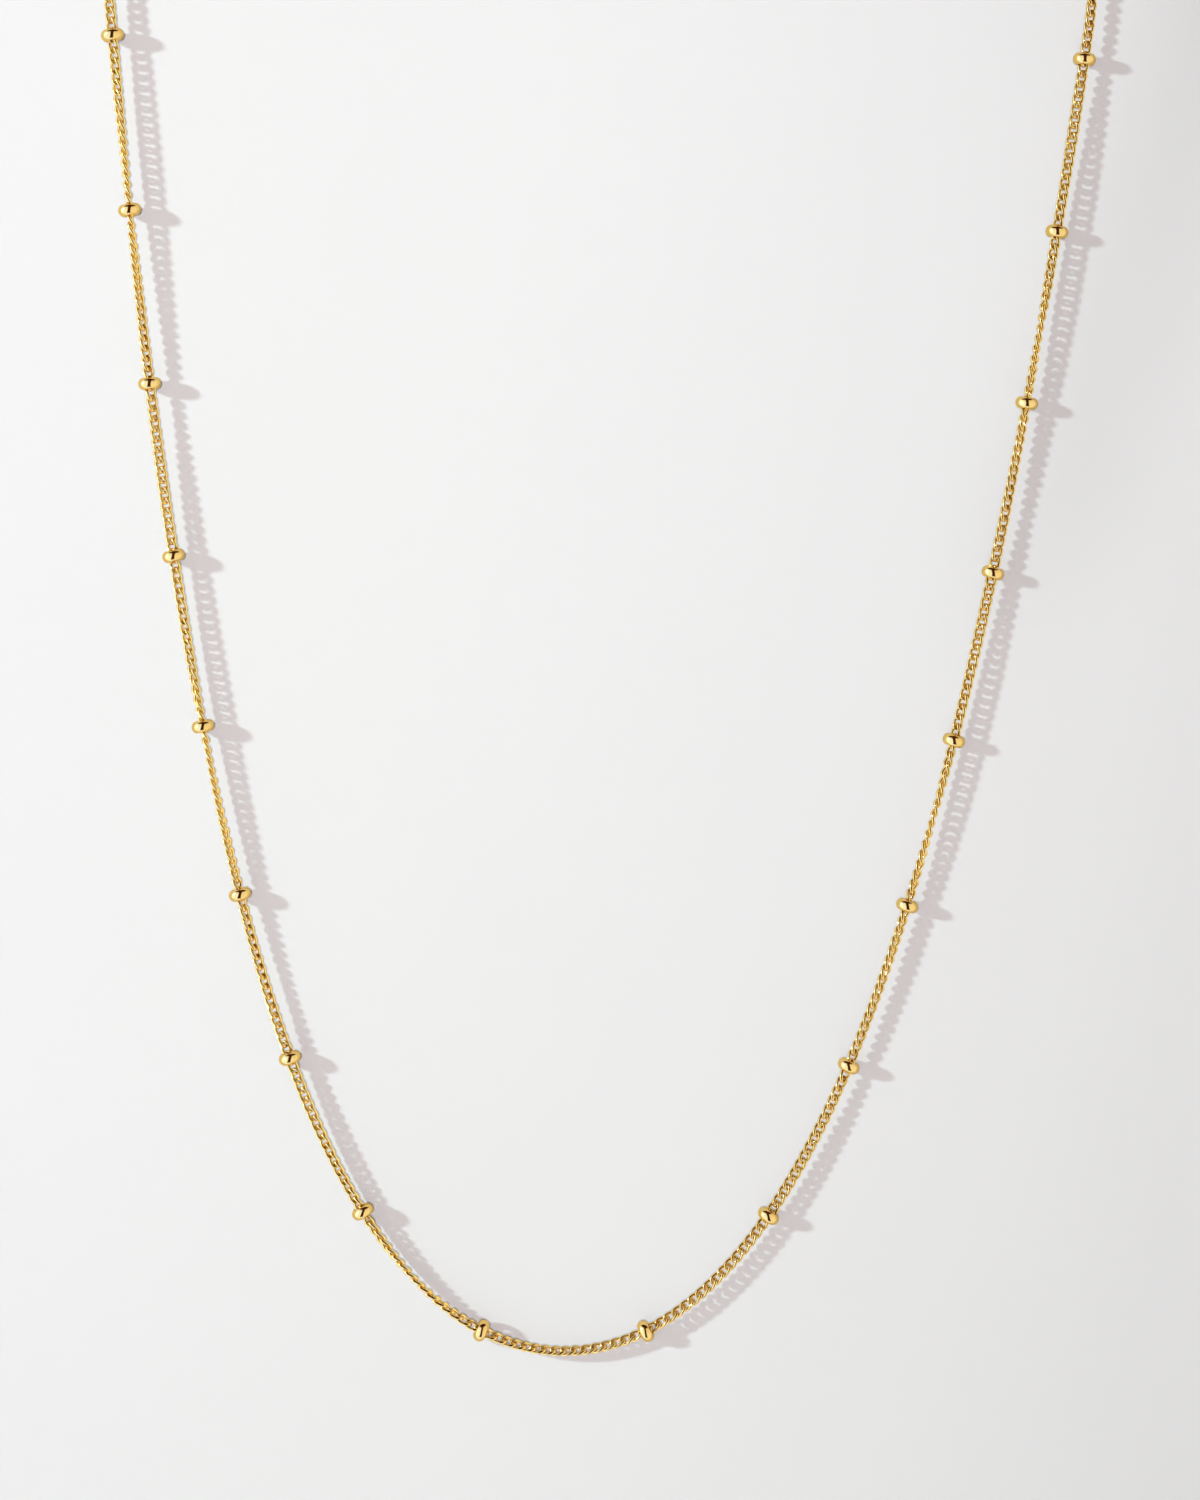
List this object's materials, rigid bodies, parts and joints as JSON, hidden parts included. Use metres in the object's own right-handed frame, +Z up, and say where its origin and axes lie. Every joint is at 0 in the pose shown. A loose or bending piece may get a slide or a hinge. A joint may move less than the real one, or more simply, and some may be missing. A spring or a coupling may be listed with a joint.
{
  "type": "bead station necklace",
  "caption": "Fine gold curb chain necklace with small round-edged beads spaced evenly along it, hanging as one closed loop with a ring clasp at the nape.",
  "frame": {"origin": "the inner edge of the clasp at the top of the loop, where the back of the neck bears on the necklace", "axes": "+Z up, from the front of the chain towards the nape; the loop lies in the XZ plane, with its front towards -Y and +X to the viewer's right"},
  "size_m": [0.0974, 0.003, 0.1884],
  "materials": {
    "chain_gold": "polished yellow gold plate",
    "bead_gold": "polished yellow gold plate with fine tumbling marks",
    "clasp_gold": "polished yellow gold plate"
  },
  "bodies": {
    "root": {"chain_left": "chain_gold", "chain_right": "chain_gold", "bead_01": "bead_gold", "bead_02": "bead_gold", "bead_03": "bead_gold", "bead_04": "bead_gold", "bead_05": "bead_gold", "bead_06": "bead_gold", "bead_07": "bead_gold", "bead_08": "bead_gold", "bead_09": "bead_gold", "bead_10": "bead_gold", "bead_11": "bead_gold", "bead_12": "bead_gold", "bead_13": "bead_gold", "bead_14": "bead_gold", "bead_15": "bead_gold", "bead_16": "bead_gold", "bead_17": "bead_gold", "bead_18": "bead_gold", "bead_19": "bead_gold", "bead_20": "bead_gold", "bead_21": "bead_gold", "bead_22": "bead_gold", "bead_23": "bead_gold", "bead_24": "bead_gold", "bead_25": "bead_gold", "bead_26": "bead_gold", "end_link_left": "chain_gold", "end_link_right": "chain_gold", "jump_ring_left": "clasp_gold", "jump_ring_right": "clasp_gold", "clasp": "clasp_gold"}
  },
  "joints": []
}
